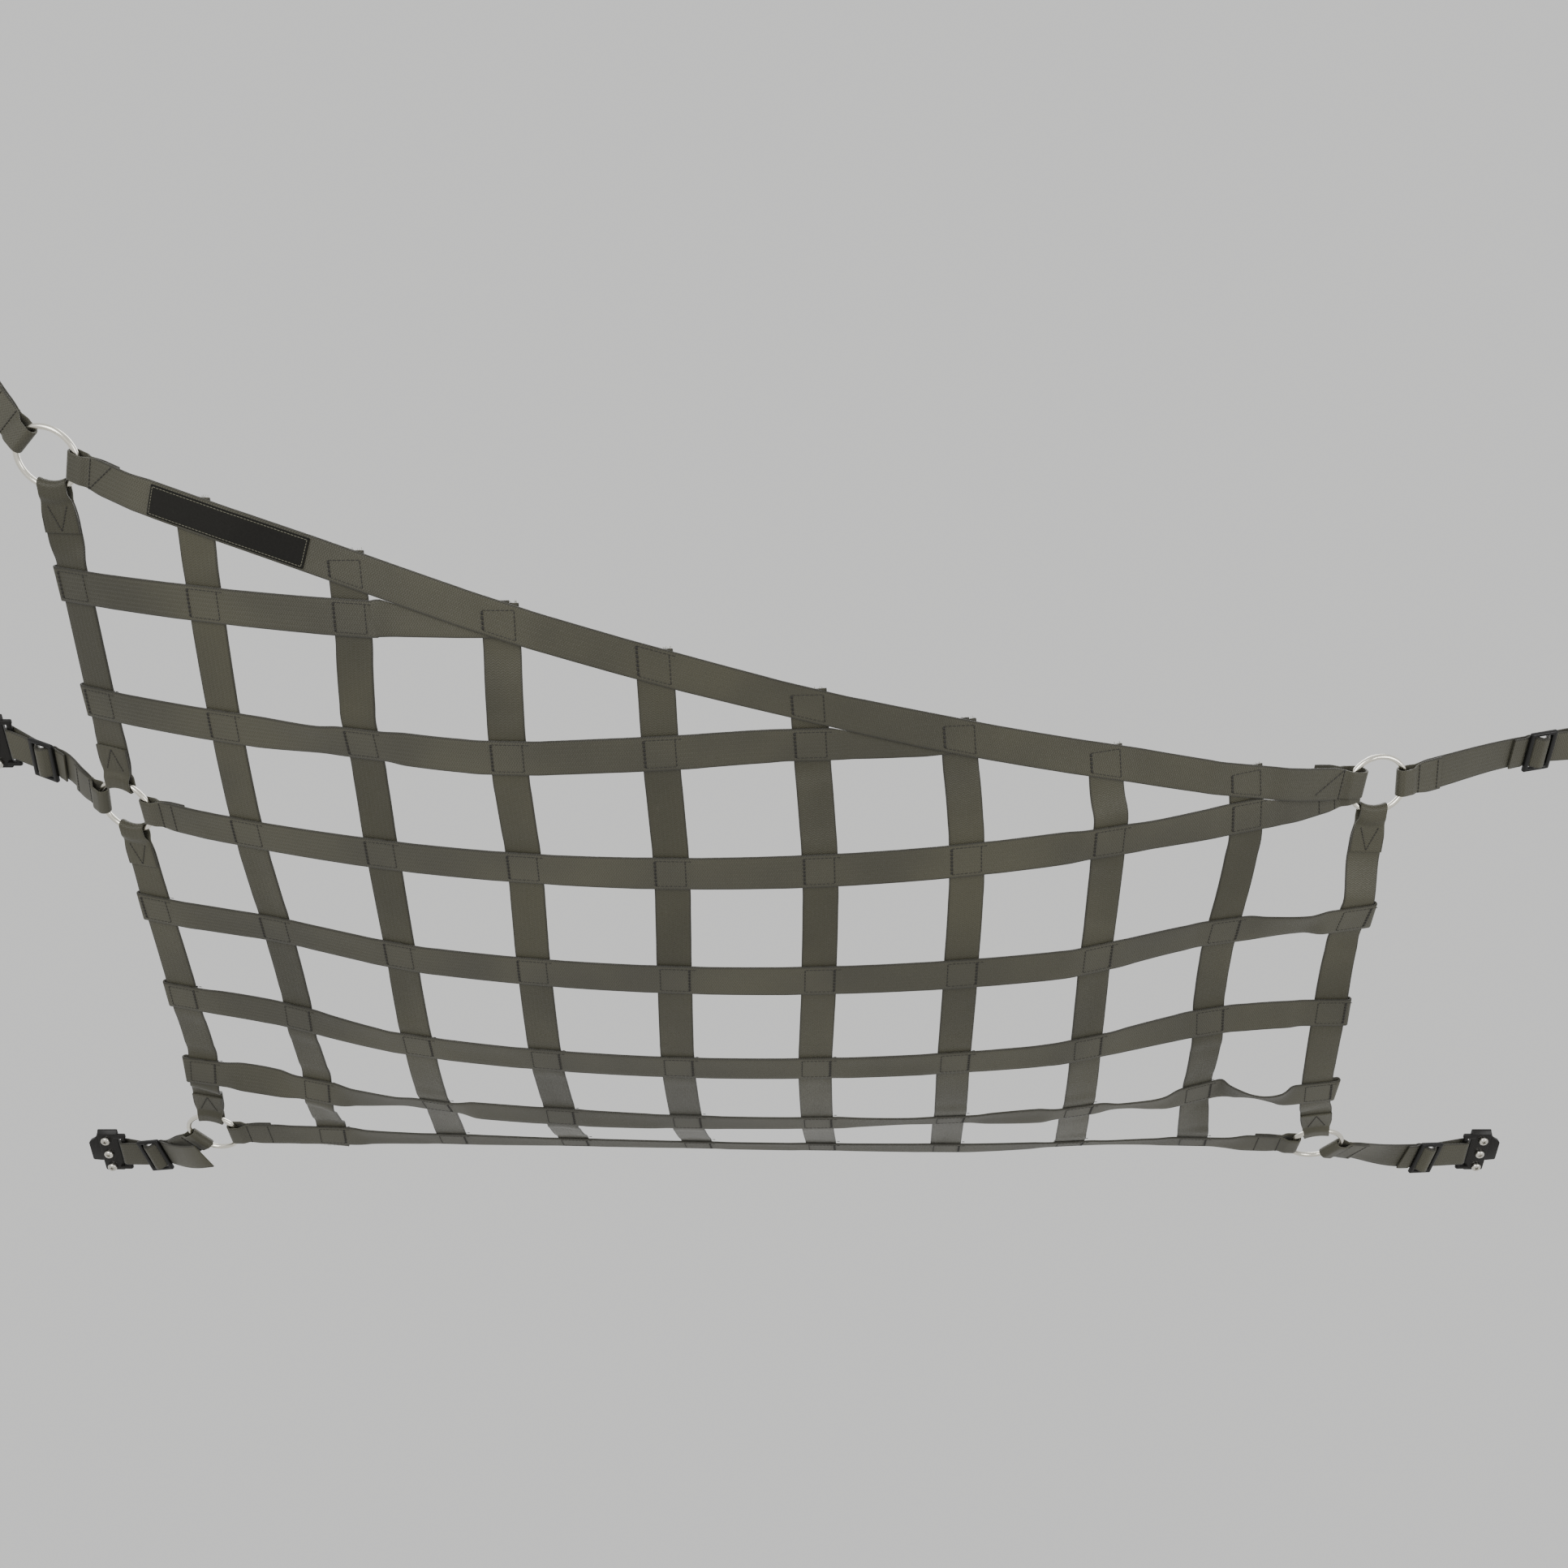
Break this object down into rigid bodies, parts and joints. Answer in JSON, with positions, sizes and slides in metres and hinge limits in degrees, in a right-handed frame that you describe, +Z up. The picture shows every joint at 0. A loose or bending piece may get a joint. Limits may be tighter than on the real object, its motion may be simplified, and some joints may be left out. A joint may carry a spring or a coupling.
{
  "type": "storage net",
  "caption": "Sagging storage net of crossed webbing straps with one slanted side, polished rings at its corners and sides, and adjustable anchor straps to screwed brackets.",
  "frame": {"origin": "on the plane of the panel's underside (z = 0, the brackets' top faces), on the centreline between the left and right brackets, 4 mm to the hinge side of the strap bars of the two hinge-side brackets", "axes": "+X to the right as seen from below and in front, +Y towards the panel's hinge, +Z up into the panel"},
  "size_m": [1.223, 0.796, 0.1468],
  "materials": {
    "webbing": "woven polyester webbing, dark olive grey",
    "ring_steel": "polished steel",
    "buckle_plastic": "moulded black plastic, slightly glossy",
    "bracket_black": "black, satin",
    "screw_steel": "plated steel screw heads",
    "label_cloth": "dark grey woven label, bare"
  },
  "bodies": {
    "root": {"cross_strap_1": "webbing", "cross_strap_2": "webbing", "cross_strap_3": "webbing", "cross_strap_4": "webbing", "cross_strap_5": "webbing", "cross_strap_6": "webbing", "cross_strap_7": "webbing", "diagonal_strap": "webbing", "length_strap_1": "webbing", "length_strap_2": "webbing", "length_strap_3": "webbing", "length_strap_4": "webbing", "length_strap_5": "webbing", "length_strap_6": "webbing", "length_strap_7": "webbing", "length_strap_8": "webbing", "edge_strap_left_near": "webbing", "edge_strap_left_far": "webbing", "edge_strap_right": "webbing", "anchor_strap_1": "webbing", "anchor_strap_2": "webbing", "anchor_strap_3": "webbing", "anchor_strap_4": "webbing", "anchor_strap_5": "webbing", "ring_1": "ring_steel", "ring_2": "ring_steel", "ring_3": "ring_steel", "ring_4": "ring_steel", "ring_5": "ring_steel", "buckle_1": "buckle_plastic", "buckle_2": "buckle_plastic", "buckle_3": "buckle_plastic", "buckle_4": "buckle_plastic", "buckle_5": "buckle_plastic", "bracket_1": "bracket_black", "bracket_2": "bracket_black", "bracket_3": "bracket_black", "bracket_4": "bracket_black", "bracket_5": "bracket_black", "screw_1_1": "screw_steel", "screw_1_2": "screw_steel", "screw_1_3": "screw_steel", "screw_2_1": "screw_steel", "screw_2_2": "screw_steel", "screw_2_3": "screw_steel", "screw_3_1": "screw_steel", "screw_3_2": "screw_steel", "screw_3_3": "screw_steel", "screw_4_1": "screw_steel", "screw_4_2": "screw_steel", "screw_4_3": "screw_steel", "screw_5_1": "screw_steel", "screw_5_2": "screw_steel", "screw_5_3": "screw_steel", "label_patch": "label_cloth"}
  },
  "joints": []
}
